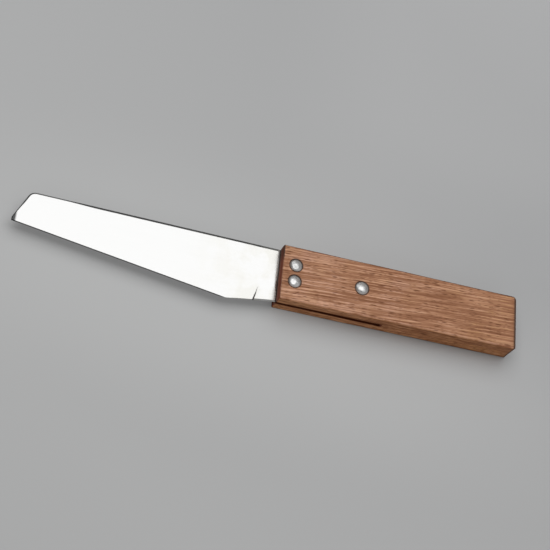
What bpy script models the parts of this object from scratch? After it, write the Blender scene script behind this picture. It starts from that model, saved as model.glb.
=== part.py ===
"""Shoemaker's knife: a ground steel blade riveted into the sawn kerf of a one-piece hardwood handle.

The knife lies on the reverse face of its handle. Lengths are in metres and +Z is up.
Datum: x = 0 at the handle's front end, with the butt towards +X and the blade's tip towards -X;
y = 0 on the handle's centre line, with the spine towards +Y and the cutting edge towards -Y;
z = 0 in the blade's mid plane. One empty carries the datum, and every piece is parented to it.
"""
import math

import bmesh
import bpy
from mathutils import Vector

MM = 0.001

# Handle: a planed hardwood block with eased edges
HANDLE_LENGTH = 102.3 * MM
HANDLE_WIDTH = 24.0 * MM
HANDLE_THICKNESS = 10.5 * MM
HANDLE_CORNER_RADIUS = 1.6 * MM
HANDLE_EDGE_RADIUS = 1.0 * MM

# Kerf: one pass of a circular saw from the front end, with the round bottom that the saw leaves
SAW_DIAMETER = 200.0 * MM
KERF_CLEARANCE = 0.15 * MM
TANG_END_GAP = 3.7 * MM

# Blade outline
BLADE_THICKNESS = 1.2 * MM
BLADE_REACH = 107.7 * MM
SPINE_INSET = 0.45 * MM
SPINE_LEAN = math.radians(0.47)
EDGE_INSET = 0.85 * MM
HEEL_SETBACK = 20.0 * MM
HEEL_DROP = 2.7 * MM
HEEL_RADIUS = 10.0 * MM
EDGE_ANGLE = math.radians(8.6)
TIP_BLUNT = 2.7 * MM
TIP_BLUNT_RADIUS = 1.0 * MM
TIP_SLANT = math.radians(24.4)
TIP_CORNER_RADIUS = 4.5 * MM
TANG_LENGTH = 42.0 * MM
TANG_END_WIDTH = 15.5 * MM
TANG_CORNER_RADIUS = 1.5 * MM
BLANK_EDGE_RADIUS = 0.5 * MM

# Grinding: a wide shallow bevel on both faces, ended by a sloping plunge, and a short edge bevel
GRIND_HEIGHT = 9.5 * MM
SHOULDER_THICKNESS = 0.4 * MM
PLUNGE_SETBACK = 9.8 * MM
PLUNGE_LEAN = math.radians(12.0)
PLUNGE_SLOPE = math.radians(35.0)
EDGE_BEVEL_ANGLE = math.radians(30.0)
APEX_THICKNESS = 0.06 * MM

# Rivets: a domed head on the show face, a tail peened into a countersink on the reverse
RIVET_DIAMETER = 3.0 * MM
RIVET_CLEARANCE = 0.15 * MM
HEAD_DIAMETER = 5.3 * MM
HEAD_HEIGHT = 1.45 * MM
HEAD_RIM = 0.25 * MM
HEAD_SEAT_DEPTH = 0.25 * MM
HEAD_SEAT_GAP = 0.1 * MM
TAIL_DIAMETER = 4.8 * MM
TAIL_DEPTH = 1.0 * MM
TAIL_RECESS = 0.1 * MM
FRONT_RIVET_SETBACK = 5.3 * MM
FRONT_RIVET_PITCH = 7.1 * MM
REAR_RIVET_SPACING = 28.4 * MM

# Facets of the round shapes, and how far a cutter runs past what it cuts
ROUND_STEPS = 32
DOME_STEPS = 6
FILLET_STEPS = 8
RIM_STEPS = 4
SAW_STEPS = 256
CUTTER_MARGIN = 2.0 * MM

# A rim's rounding takes at most this share of the plate's thickness on each face
RIM_LIMIT = 0.45


def clear_scene():
    for obj in list(bpy.data.objects):
        bpy.data.objects.remove(obj, do_unlink=True)


def make_material(name, colour, roughness, metallic):
    material = bpy.data.materials.new(name)
    material.use_nodes = True
    shader = material.node_tree.nodes["Principled BSDF"]
    shader.inputs["Base Color"].default_value = (*colour, 1.0)
    shader.inputs["Roughness"].default_value = roughness
    shader.inputs["Metallic"].default_value = metallic
    return material


def place(name, bm, datum, material=None, location=(0.0, 0.0, 0.0)):
    """Turn a bmesh into a named object on the datum."""
    bmesh.ops.recalc_face_normals(bm, faces=bm.faces)
    mesh = bpy.data.meshes.new(name)
    bm.to_mesh(mesh)
    bm.free()
    obj = bpy.data.objects.new(name, mesh)
    bpy.context.scene.collection.objects.link(obj)
    obj.parent = datum
    obj.location = location
    if material is not None:
        mesh.materials.append(material)
    return obj


def cut(target, cutter):
    """Subtract a cutter, which stays in the scene as a hidden wire."""
    cutter.hide_render = True
    cutter.display_type = 'WIRE'
    boolean = target.modifiers.new("cut_" + cutter.name, 'BOOLEAN')
    boolean.operation = 'DIFFERENCE'
    boolean.solver = 'EXACT'
    boolean.object = cutter


def shade_round(obj):
    obj.data.shade_smooth()
    obj.data.set_sharp_from_angle(angle=math.radians(30.0))


def fillet_outline(corners):
    """Closed outline through (corner, radius) pairs: a tangent arc where there is a radius."""
    outline = []
    count = len(corners)
    for index, (corner, radius) in enumerate(corners):
        if radius is None:
            outline.append(corner)
            continue
        back = (corners[index - 1][0] - corner).normalized()
        ahead = (corners[(index + 1) % count][0] - corner).normalized()
        half_angle = back.angle(ahead) / 2.0
        centre = corner + (back + ahead).normalized() * radius / math.sin(half_angle)
        start = corner + back * radius / math.tan(half_angle) - centre
        sweep = start.angle_signed(corner + ahead * radius / math.tan(half_angle) - centre)
        for step in range(FILLET_STEPS + 1):
            angle = -sweep * step / FILLET_STEPS
            turned = Vector((start.x * math.cos(angle) - start.y * math.sin(angle),
                             start.x * math.sin(angle) + start.y * math.cos(angle)))
            outline.append(centre + turned)
    return outline


def plate(outline, thickness, rim_radius):
    """Outline extruded to a thickness about z = 0, with both rims rounded."""
    bm = bmesh.new()
    floor = bm.faces.new([bm.verts.new((point.x, point.y, -thickness / 2.0)) for point in outline])
    raised = bmesh.ops.extrude_face_region(bm, geom=[floor])
    roof = [item for item in raised["geom"] if isinstance(item, bmesh.types.BMVert)]
    bmesh.ops.translate(bm, vec=(0.0, 0.0, thickness), verts=roof)
    rims = [edge for edge in bm.edges if edge.verts[0].co.z == edge.verts[1].co.z]
    bmesh.ops.bevel(bm, geom=rims, offset=min(rim_radius, RIM_LIMIT * thickness), offset_type='OFFSET',
                    segments=RIM_STEPS, profile=0.5, affect='EDGES')
    return bm


def revolve(profile):
    """Solid of revolution about Z from (radius, height) points that start and end on the axis."""
    bm = bmesh.new()
    verts = [bm.verts.new((radius, 0.0, height)) for radius, height in profile]
    edges = [bm.edges.new(pair) for pair in zip(verts, verts[1:])]
    bmesh.ops.spin(bm, geom=verts + edges, cent=(0.0, 0.0, 0.0), axis=(0.0, 0.0, 1.0),
                   angle=2.0 * math.pi, steps=ROUND_STEPS)
    bmesh.ops.remove_doubles(bm, verts=bm.verts, dist=0.001 * MM)
    return bm


def hexahedron(floor, roof):
    """Six-sided solid from two quads whose corners correspond."""
    bm = bmesh.new()
    low = [bm.verts.new(point) for point in floor]
    high = [bm.verts.new(point) for point in roof]
    bm.faces.new(low)
    bm.faces.new(high)
    for side in range(4):
        following = (side + 1) % 4
        bm.faces.new((low[side], low[following], high[following], high[side]))
    return bm


# Blade geometry in the datum's plane

def spine_y(x):
    return HANDLE_WIDTH / 2.0 - SPINE_INSET - x * math.tan(SPINE_LEAN)


HEEL = Vector((-HEEL_SETBACK, -HANDLE_WIDTH / 2.0 - HEEL_DROP))
EDGE_TO_TIP = Vector((-math.cos(EDGE_ANGLE), math.sin(EDGE_ANGLE)))
EDGE_INWARD = Vector((math.sin(EDGE_ANGLE), math.cos(EDGE_ANGLE)))
FRONT_EDGE = Vector((0.0, EDGE_INSET - HANDLE_WIDTH / 2.0))


def blade_outline():
    """Tang, ricasso, heel, straight edge, blunted point, slanted tip and spine, in that order."""
    tang_low = Vector((TANG_LENGTH, spine_y(TANG_LENGTH) - TANG_END_WIDTH))
    tang_high = Vector((TANG_LENGTH, spine_y(TANG_LENGTH)))
    point_low = HEEL + EDGE_TO_TIP * (BLADE_REACH - HEEL_SETBACK) / math.cos(EDGE_ANGLE)
    point_high = point_low + Vector((0.0, TIP_BLUNT))
    slant = Vector((math.sin(TIP_SLANT), math.cos(TIP_SLANT)))
    climb = (spine_y(point_high.x) - point_high.y) / (slant.y + slant.x * math.tan(SPINE_LEAN))
    tip_top = point_high + slant * climb
    return fillet_outline([
        (tang_high, TANG_CORNER_RADIUS),
        (tang_low, TANG_CORNER_RADIUS),
        (FRONT_EDGE, None),
        (HEEL, HEEL_RADIUS),
        (point_low, None),
        (point_high, TIP_BLUNT_RADIUS),
        (tip_top, TIP_CORNER_RADIUS),
    ])


def from_edge(distance, along, z):
    """Point at a distance inward from the cutting edge's line and along it from the heel to the tip."""
    flat = HEEL + EDGE_INWARD * distance + EDGE_TO_TIP * along
    return Vector((flat.x, flat.y, z))


def on_plunge(distance, z):
    """Point of the plunge's sloping wall at a distance from the edge's line and at a height z."""
    line = Vector((math.sin(PLUNGE_LEAN), math.cos(PLUNGE_LEAN)))
    across = Vector((math.cos(PLUNGE_LEAN), -math.sin(PLUNGE_LEAN)))
    set_off = across * (z - BLADE_THICKNESS / 2.0) / math.tan(PLUNGE_SLOPE)
    foot = HEEL.lerp(FRONT_EDGE, 1.0 - PLUNGE_SETBACK / HEEL_SETBACK) + set_off
    flat = foot + line * (distance - (foot - HEEL).dot(EDGE_INWARD)) / line.dot(EDGE_INWARD)
    return Vector((flat.x, flat.y, z))


def grind_cutter(side):
    """Waste above the wide bevel on one face: side is +1 for the show face, -1 for the reverse."""
    outer = -CUTTER_MARGIN
    inner = GRIND_HEIGHT + CUTTER_MARGIN
    far = BLADE_REACH
    roof_z = BLADE_THICKNESS / 2.0 + CUTTER_MARGIN
    edge_z = SHOULDER_THICKNESS / 2.0
    rise = (BLADE_THICKNESS / 2.0 - edge_z) / GRIND_HEIGHT
    outer_z = edge_z + rise * outer
    inner_z = edge_z + rise * inner
    floor = [on_plunge(outer, outer_z), on_plunge(inner, inner_z),
             from_edge(inner, far, inner_z), from_edge(outer, far, outer_z)]
    roof = [on_plunge(outer, roof_z), on_plunge(inner, roof_z),
            from_edge(inner, far, roof_z), from_edge(outer, far, roof_z)]
    mirror = Vector((1.0, 1.0, side))
    return hexahedron([mirror * point for point in floor], [mirror * point for point in roof])


def edge_cutter(side):
    """Waste above the short edge bevel on one face, from the heel to past the tip."""
    outer = -CUTTER_MARGIN
    inner = CUTTER_MARGIN
    near = PLUNGE_SETBACK - HEEL_SETBACK
    far = BLADE_REACH
    roof_z = BLADE_THICKNESS / 2.0 + CUTTER_MARGIN
    outer_z = APEX_THICKNESS / 2.0 + outer * math.tan(EDGE_BEVEL_ANGLE)
    inner_z = APEX_THICKNESS / 2.0 + inner * math.tan(EDGE_BEVEL_ANGLE)
    floor = [from_edge(outer, near, outer_z), from_edge(inner, near, inner_z),
             from_edge(inner, far, inner_z), from_edge(outer, far, outer_z)]
    roof = [Vector((point.x, point.y, roof_z)) for point in floor]
    mirror = Vector((1.0, 1.0, side))
    return hexahedron([mirror * point for point in floor], [mirror * point for point in roof])


# Rivets

RIVET_PLACES = {
    "front_spine_rivet": (FRONT_RIVET_SETBACK, FRONT_RIVET_PITCH / 2.0, 0.0),
    "front_edge_rivet": (FRONT_RIVET_SETBACK, -FRONT_RIVET_PITCH / 2.0, 0.0),
    "rear_rivet": (FRONT_RIVET_SETBACK + REAR_RIVET_SPACING, 0.0, 0.0),
}
SHOW_FACE_Z = HANDLE_THICKNESS / 2.0
TAIL_FACE_Z = -HANDLE_THICKNESS / 2.0 + TAIL_RECESS


def rivet_profile():
    """Dome, rim, shank and flared tail, from the top of the axis to the bottom."""
    head_radius = HEAD_DIAMETER / 2.0
    base_z = SHOW_FACE_Z - HEAD_SEAT_DEPTH + HEAD_SEAT_GAP
    dome_height = HEAD_HEIGHT - HEAD_RIM
    dome_radius = (head_radius ** 2 + dome_height ** 2) / (2.0 * dome_height)
    dome_centre_z = base_z + HEAD_HEIGHT - dome_radius
    dome_angle = math.asin(head_radius / dome_radius)
    profile = []
    for step in range(DOME_STEPS + 1):
        angle = dome_angle * step / DOME_STEPS
        profile.append((dome_radius * math.sin(angle), dome_centre_z + dome_radius * math.cos(angle)))
    profile += [
        (head_radius, base_z),
        (RIVET_DIAMETER / 2.0, base_z),
        (RIVET_DIAMETER / 2.0, TAIL_FACE_Z + TAIL_DEPTH),
        (TAIL_DIAMETER / 2.0, TAIL_FACE_Z),
        (0.0, TAIL_FACE_Z),
    ]
    return profile


def bore_profile():
    """Waste for one rivet in the handle: head seat, bore and countersink, with their clearance."""
    seat_radius = HEAD_DIAMETER / 2.0 + RIVET_CLEARANCE
    bore_radius = RIVET_DIAMETER / 2.0 + RIVET_CLEARANCE
    sink_radius = TAIL_DIAMETER / 2.0 + RIVET_CLEARANCE
    return [
        (0.0, SHOW_FACE_Z + CUTTER_MARGIN),
        (seat_radius, SHOW_FACE_Z + CUTTER_MARGIN),
        (seat_radius, SHOW_FACE_Z - HEAD_SEAT_DEPTH),
        (bore_radius, SHOW_FACE_Z - HEAD_SEAT_DEPTH),
        (bore_radius, TAIL_FACE_Z + TAIL_DEPTH),
        (sink_radius, TAIL_FACE_Z),
        (sink_radius, TAIL_FACE_Z - CUTTER_MARGIN),
        (0.0, TAIL_FACE_Z - CUTTER_MARGIN),
    ]


def tang_hole_profile():
    radius = RIVET_DIAMETER / 2.0 + RIVET_CLEARANCE
    reach = BLADE_THICKNESS / 2.0 + CUTTER_MARGIN
    return [(0.0, reach), (radius, reach), (radius, -reach), (0.0, -reach)]


# Pieces

def handle_outline():
    """Front end at x = 0, from the spine side round by the butt to the edge side."""
    side = HANDLE_WIDTH / 2.0
    corners = ((0.0, side), (HANDLE_LENGTH, side), (HANDLE_LENGTH, -side), (0.0, -side))
    return fillet_outline([(Vector(corner), HANDLE_CORNER_RADIUS) for corner in corners])


def build_handle(datum):
    wood = make_material("hardwood", (0.38, 0.18, 0.105), 0.5, 0.0)
    block = plate(handle_outline(), HANDLE_THICKNESS, HANDLE_EDGE_RADIUS)
    handle = place("handle", block, datum, wood)
    saw = bmesh.new()
    bmesh.ops.create_cone(saw, cap_ends=True, segments=SAW_STEPS, radius1=SAW_DIAMETER / 2.0,
                          radius2=SAW_DIAMETER / 2.0, depth=BLADE_THICKNESS + 2.0 * KERF_CLEARANCE)
    kerf_depth = TANG_LENGTH + TANG_END_GAP
    cut(handle, place("kerf_saw", saw, datum, location=(kerf_depth - SAW_DIAMETER / 2.0, 0.0, 0.0)))
    for name, location in RIVET_PLACES.items():
        cut(handle, place(name + "_bore", revolve(bore_profile()), datum, location=location))


def build_blade(datum, outline):
    steel = make_material("ground_steel", (0.66, 0.66, 0.65), 0.2, 1.0)
    blade = place("blade", plate(outline, BLADE_THICKNESS, BLANK_EDGE_RADIUS), datum, steel)
    for label, side in (("show", 1.0), ("reverse", -1.0)):
        cut(blade, place(label + "_grind", grind_cutter(side), datum))
        cut(blade, place(label + "_edge_bevel", edge_cutter(side), datum))
    for name, location in RIVET_PLACES.items():
        cut(blade, place(name + "_hole", revolve(tang_hole_profile()), datum, location=location))


def build_rivets(datum):
    for name, location in RIVET_PLACES.items():
        metal = make_material(name + "_metal", (0.72, 0.72, 0.71), 0.3, 1.0)
        shade_round(place(name, revolve(rivet_profile()), datum, metal, location))


def main():
    clear_scene()
    outline = blade_outline()
    lowest = min(min(point.y for point in outline), -HANDLE_WIDTH / 2.0)
    highest = max(max(point.y for point in outline), HANDLE_WIDTH / 2.0)
    datum = bpy.data.objects.new("knife_datum", None)
    bpy.context.scene.collection.objects.link(datum)
    datum.location = ((BLADE_REACH - HANDLE_LENGTH) / 2.0, -(lowest + highest) / 2.0, HANDLE_THICKNESS / 2.0)
    build_handle(datum)
    build_blade(datum, outline)
    build_rivets(datum)


main()
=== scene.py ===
import math
import bpy
import numpy as np
from mathutils import Matrix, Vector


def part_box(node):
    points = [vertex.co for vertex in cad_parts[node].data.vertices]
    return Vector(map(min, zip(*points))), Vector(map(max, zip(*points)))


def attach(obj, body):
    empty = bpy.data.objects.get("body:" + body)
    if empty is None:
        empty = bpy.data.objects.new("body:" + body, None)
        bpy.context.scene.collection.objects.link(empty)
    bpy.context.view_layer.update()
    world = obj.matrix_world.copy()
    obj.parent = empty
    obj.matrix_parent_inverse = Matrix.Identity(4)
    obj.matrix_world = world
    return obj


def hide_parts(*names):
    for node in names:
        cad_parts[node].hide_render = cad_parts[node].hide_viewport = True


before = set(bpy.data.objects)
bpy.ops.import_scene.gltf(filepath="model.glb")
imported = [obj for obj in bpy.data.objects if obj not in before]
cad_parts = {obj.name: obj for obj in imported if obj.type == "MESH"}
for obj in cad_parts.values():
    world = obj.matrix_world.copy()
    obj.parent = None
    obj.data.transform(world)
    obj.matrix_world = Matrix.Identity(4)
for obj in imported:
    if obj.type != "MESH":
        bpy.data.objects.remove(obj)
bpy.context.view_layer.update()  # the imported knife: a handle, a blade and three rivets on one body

scene = bpy.context.scene
mm = 0.001  # shapes are worked out in millimetres, and the meshes are in metres


def nodeBox(name):
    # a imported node's lowest and highest corner, in millimetres
    low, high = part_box(name)
    return np.array(low) / mm, np.array(high) / mm


handleLow, handleHigh = nodeBox("handle")
bladeLow, bladeHigh = nodeBox("blade")
rivetNames = ["front_spine_rivet", "front_edge_rivet", "rear_rivet"]
rivetBoxes = [nodeBox(name) for name in rivetNames]
rivetCentres = [(low[:2] + high[:2]) / 2 for low, high in rivetBoxes]
headGrowth = [1.0, 1.0, 1.07]  # the rear rivet spread further under the hammer
headRadii = [(high[0] - low[0]) / 2 * grown for (low, high), grown in zip(rivetBoxes, headGrowth)]
frontX, nearY = handleLow[:2]
buttX, farY, handleTop = handleHigh
centreY = (nearY + farY) / 2
bladeZ = (bladeLow[2] + bladeHigh[2]) / 2
plateHalf = (bladeHigh[2] - bladeLow[2]) / 2
print("frame loaded:", ", ".join(sorted(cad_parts)))


# mesh helpers

def ripple(t, seed, waves=5):
    # uneven handwork: a sum of sines, each shorter and weaker than the last, roughly -1 to 1
    k = np.arange(1, waves + 1)
    phase = np.random.default_rng(seed).uniform(0, 2 * np.pi, waves)
    return (np.sin(np.asarray(t)[..., None] * k * 2 * np.pi + phase) / k).sum(-1) / 1.8


def ease(t):
    # 0 to 1 with a level start and end
    t = np.clip(t, 0, 1)
    return t * t * (3 - 2 * t)


def unit(vector):
    return vector / np.linalg.norm(vector)


def gridIndex(points):
    return np.arange(points[..., 0].size).reshape(points.shape[:2])


def gridQuads(index, closeRows=False, closeCols=False):
    # one quad for each cell of a grid of vertex numbers, wrapped round where it closes
    if closeRows:
        index = np.vstack([index, index[:1]])
    if closeCols:
        index = np.hstack([index, index[:, :1]])
    corners = [index[:-1, :-1], index[1:, :-1], index[1:, 1:], index[:-1, 1:]]
    return np.stack(corners, -1).reshape(-1, 4)


def fan(ring, pole):
    # triangles from a closed ring of vertex numbers to one pole vertex
    return np.stack([ring, np.roll(ring, -1), np.full(len(ring), pole)], -1)


def addPiece(name, points, *faceSets):
    # points in millimetres, in the knife's own frame, and faces as arrays of vertex numbers
    faces = [face for faceSet in faceSets for face in faceSet.tolist()]
    mesh = bpy.data.meshes.new(name)
    mesh.from_pydata((points * mm).tolist(), [], faces)
    mesh.update()
    piece = bpy.data.objects.new(name, mesh)
    scene.collection.objects.link(piece)
    return piece


def addMark(piece, name, values):
    # a number for each vertex, which the materials read
    mark = piece.data.attributes.new(name, "FLOAT", "POINT")
    mark.data.foreach_set("value", np.asarray(values, np.float32).ravel())


def carve(piece, cutters):
    # subtracts the cutters for good and removes them
    for cutter in cutters:
        step = piece.modifiers.new("carve", "BOOLEAN")
        step.object = cutter
        step.operation = "DIFFERENCE"
        step.solver = "EXACT"
    evaluated = piece.evaluated_get(bpy.context.evaluated_depsgraph_get())
    carved = bpy.data.meshes.new_from_object(evaluated)
    piece.modifiers.clear()
    piece.data = carved
    for cutter in cutters:
        bpy.data.objects.remove(cutter)


def shadeSmooth(piece, sharpAngle):
    piece.data.shade_smooth()
    piece.data.set_sharp_from_angle(angle=math.radians(sharpAngle))


def revolved(name, radius, height, centre):
    # a profile turned about an upright axis: rows go round, columns run down from pole to pole
    turn = np.linspace(0, 2 * np.pi, len(radius), endpoint=False)[:, None]
    rings = np.stack([centre[0] + radius * np.cos(turn), centre[1] + radius * np.sin(turn), height], -1)
    poles = np.array([[*centre, height[:, 0].mean()], [*centre, height[:, -1].mean()]])
    index = gridIndex(rings)
    quads = gridQuads(index, closeRows=True)[:, ::-1]
    top = fan(index[:, 0], index.size)
    bottom = fan(index[:, -1], index.size + 1)[:, ::-1]
    return addPiece(name, np.vstack([rings.reshape(-1, 3), poles]), quads, top, bottom)


def turnedCutter(name, profile, steps, centre):
    # an even round cutter from pairs of radius and height, from its top down
    radius, height = np.array(profile).T
    ones = np.ones((steps, 1))
    return revolved(name, ones * radius, ones * height, centre)


def lookMatrix(right, up, back, place):
    # an object's axes and place as a matrix, with the place in millimetres
    rows = np.column_stack([right, up, back, np.asarray(place) * mm])
    return Matrix([*rows.tolist(), [0, 0, 0, 1]])


# material helpers

def wire(node, sources):
    # a socket of another node is linked, anything else is set as a value
    for name, source in sources.items():
        if isinstance(source, bpy.types.NodeSocket):
            node.id_data.links.new(source, node.inputs[name])
        else:
            node.inputs[name].default_value = source


def addNode(tree, kind, sources=None, **settings):
    # a new shader node's outputs
    node = tree.nodes.new("ShaderNode" + kind)
    for name, value in settings.items():
        setattr(node, name, value)
    wire(node, sources or {})
    return node.outputs


def homeTree(values):
    # the node tree of the first socket among these values
    return next(value.id_data for value in values if isinstance(value, bpy.types.NodeSocket))


def sums(operation, *values):
    sources = dict(enumerate(values))
    return addNode(homeTree(values), "Math", sources, operation=operation)[0]


def product(first, *others):
    for other in others:
        first = sums("MULTIPLY", first, other)
    return first


def strongest(first, *others):
    for other in others:
        first = sums("MAXIMUM", first, other)
    return first


def plus(value, factor, rest):
    # value * factor + rest
    return sums("MULTIPLY_ADD", value, factor, rest)


def minus(value, other):
    return sums("SUBTRACT", value, other)


def apart(value, place):
    return sums("ABSOLUTE", minus(value, place))


def between(value, low, high, toLow=0.0, toHigh=1.0, style="SMOOTHSTEP"):
    # low..high becomes toLow..toHigh, with soft ends unless the style is linear
    sources = {"Value": value, "From Min": low, "From Max": high, "To Min": toLow, "To Max": toHigh}
    return addNode(value.id_data, "MapRange", sources, interpolation_type=style)[0]


def edgeBand(value, edge, width, full=0.5):
    # 0 at a width below an edge, or above it where the width is negative, and 1 from a share of that on
    return between(value, edge - width, edge - width * full)


def vectors(operation, *values):
    # a length, a distance or a dot product comes out as a number
    sources = dict(enumerate(values))
    outputs = addNode(homeTree(values), "VectorMath", sources, operation=operation)
    return outputs["Value" if operation in ("LENGTH", "DISTANCE", "DOT_PRODUCT") else "Vector"]


def parts(vector):
    return addNode(vector.id_data, "SeparateXYZ", {0: vector})


def mixed(factor, first, second, blend="MIX"):
    # colours, with the first under the second
    sources = {0: factor, 6: first, 7: second}
    tree = homeTree(sources.values())
    return addNode(tree, "Mix", sources, data_type="RGBA", blend_type=blend)[2]


def coated(colour, mask, share, paint):
    # paint over a colour where the mask is, at most by this share
    return mixed(product(mask, share), colour, paint)


def noise(place, detail, scale=1.0):
    sources = {"Vector": place, "Scale": scale, "Detail": detail}
    return addNode(place.id_data, "TexNoise", sources)


def relief(height, strength, depth):
    # a bumpy normal, with the depth in millimetres
    sources = {"Height": height, "Strength": strength, "Distance": depth * mm}
    return addNode(height.id_data, "Bump", sources)[0]


def newMaterial(name):
    material = bpy.data.materials.new(name)
    material.use_nodes = True
    tree = material.node_tree
    return material, tree, tree.nodes["Principled BSDF"]


def millimetres(tree, turn=0.0):
    # Object coordinates in millimetres, turned about Z by so many degrees
    place = addNode(tree, "TexCoord")["Object"]
    sources = {"Vector": place, "Scale": (1 / mm, 1 / mm, 1 / mm), "Rotation": (0, 0, math.radians(turn))}
    return addNode(tree, "Mapping", sources)[0]


def facingWay(tree):
    return addNode(tree, "TexCoord")["Normal"]


def readMark(tree, name):
    return addNode(tree, "Attribute", attribute_name=name)["Fac"]


# shared finishes

def newGroup(name, numbers, output):
    # takes a place and some numbers, and gives one number
    group = bpy.data.node_groups.new(name, "ShaderNodeTree")
    group.interface.new_socket("Vector", in_out="INPUT", socket_type="NodeSocketVector")
    for socketName, value in numbers.items():
        socket = group.interface.new_socket(socketName, in_out="INPUT", socket_type="NodeSocketFloat")
        socket.default_value = value
    group.interface.new_socket(output, in_out="OUTPUT", socket_type="NodeSocketFloat")
    return group, group.nodes.new("NodeGroupInput").outputs, group.nodes.new("NodeGroupOutput")


def layers(group, place, settings):
    # one use of a group for each setting, whose numbers are in the order of the group's sockets
    uses = [dict(enumerate((place, *numbers))) for numbers in settings.values()]
    return [addNode(place.id_data, "Group", use, node_tree=group)[0] for use in uses]


def drawnOut(entry):
    # a place divided by the length along X and by the width across, which draws a pattern out
    across = sums("DIVIDE", 1.0, entry["Width"])
    sources = {0: sums("DIVIDE", 1.0, entry["Length"]), 1: across, 2: across}
    squeeze = addNode(across.id_data, "CombineXYZ", sources)[0]
    return vectors("MULTIPLY", entry["Vector"], squeeze)


def passing(value, level, soft):
    # 0 to 1 as a number passes a level, softly to either side
    return between(value, minus(level, soft), sums("ADD", level, soft))


# streaks: noise drawn out along X, for wood fibres and grinding lines
streaks, entry, leave = newGroup("streaks", {
    "Length": 20.0, "Width": 1.0, "Detail": 2.0, "Contrast": 0.25}, "Value")
cloud = noise(drawnOut(entry), entry["Detail"])[0]
wire(leave, {0: passing(cloud, 0.5, entry["Contrast"])})

# dashes: scattered short marks, for pores in wood and specks and pits in metal
dashes, entry, leave = newGroup("dashes", {
    "Length": 3.0, "Width": 0.5, "Share": 0.3, "Size": 0.35}, "Mask")
sources = {"Vector": drawnOut(entry), "Scale": 1.0, "Randomness": 1.0}
cells = addNode(dashes, "TexVoronoi", sources)
chance = parts(cells["Color"])
picked = sums("LESS_THAN", chance[0], entry["Share"])
reach = product(entry["Size"], plus(chance[1], 0.7, 0.5))
spot = between(sums("DIVIDE", cells["Distance"], reach), 1.0, 0.35)
wire(leave, {0: product(picked, spot)})

# patches: soft blotches, for handling marks, tarnish and uneven tone
patches, entry, leave = newGroup("patches", {"Across": 12.0, "Cover": 0.5, "Softness": 0.15}, "Mask")
shrunk = vectors("MULTIPLY", entry["Vector"], sums("DIVIDE", 1.0, entry["Across"]))
cloud = noise(shrunk, 3.0)[0]
wire(leave, {0: passing(cloud, minus(1.0, entry["Cover"]), entry["Softness"])})
print("shared finishes ready: streaks, dashes, patches")


# handle: one hardwood block, edges eased by hand, a saw kerf from the front end, three rivet seats

handleShape = {
    "edgeEase": (0.7, 0.6, 0.4, 0.4),  # rounding of the long edges: far top, near top, near and far below
    "edgeWearSheen": (0.0, 1.0, 0.4, 0.4),  # how far they are rubbed pale, in that order; the paleness is partly wear and partly a painted highlight
    "edgeGrimeShade": (0.85, 0.0, 0.9, 0.5),  # and how much dirt they hold; on the two lower edges this is also painted contact shade against the table
    "grimeFacing": 0.6, "wearFade": 2.0,
    "buttGrime": 1.4,  # width of the dirty arris round the butt
    "easeWander": 0.22, "easeWaves": 1.7,
    "frontEase": {"far": 0.4, "near": 0.6, "faces": 0.25},
    "buttEase": {"far": 1.8, "near": 0.9, "faces": 0.6},
    "faceWander": 0.05,  # how far the planed faces dip
    "faceWaves": 0.9,
    "frontStand": 0.25,  # how far the front end stands out
    "frontLean": 0.25,  # and its foot beyond that
    "leanReach": 8.0,
    "kerfWidth": (1.5, 2.2),  # at its mouth and at its end
    "kerfSag": 0.15,  # from mouth to end
    "kerfDepth": 45.0, "sawDiameter": 200.0, "seatGap": 0.2,
    "seatDepth": 0.25, "boreDiameter": 3.3, "tailGap": 0.06, "tailSeatDepth": 1.1,
    "sawPast": 2.0,  # how far the cutters reach past what they cut
    "borePast": 3.0, "boreSteps": 64,
    "borePole": 0.3,  # radius of a cutter's innermost ring
    "rings": 140, "endRings": 14, "sidePoints": 30, "edgePoints": 14, "arcPoints": 9,
    "kerfPoints": 41, "sharpAngle": 32.0,
}


def roundedSection(shape):
    # a rounded rectangle as corner centres from -1 to 1 and unit steps away from them, so that
    # point = centre * (half size - radius) + step * radius; the weights say which corner rules
    arc = np.linspace(0, np.pi / 2, shape["arcPoints"])
    corners = np.array([[1, 1], [-1, 1], [-1, -1], [1, -1]], float)
    centres, steps, weights = [], [], []
    for k in range(4):
        here, there = corners[k], corners[(k + 1) % 4]
        turn = arc + k * np.pi / 2
        count = shape["sidePoints"] if k % 2 == 0 else shape["edgePoints"]
        share = np.linspace(0, 1, count + 2)[1:-1, None]
        own, other = np.eye(4)[k], np.eye(4)[(k + 1) % 4]
        centres += [np.repeat(here[None], len(arc), 0), here + (there - here) * share]
        steps += [np.stack([np.cos(turn), np.sin(turn)], -1),
                  np.repeat([[np.cos(turn[-1]), np.sin(turn[-1])]], count, 0)]
        weights += [np.repeat(own[None], len(arc), 0), own + (other - own) * share]
    return np.vstack(centres), np.vstack(steps), np.vstack(weights)


def endInset(distance, radius):
    # how far a face has fallen back at this distance from an end: a quarter circle
    t = np.clip(1 - distance / radius, 0, 1)
    return radius * (1 - np.sqrt(1 - t * t))


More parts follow.
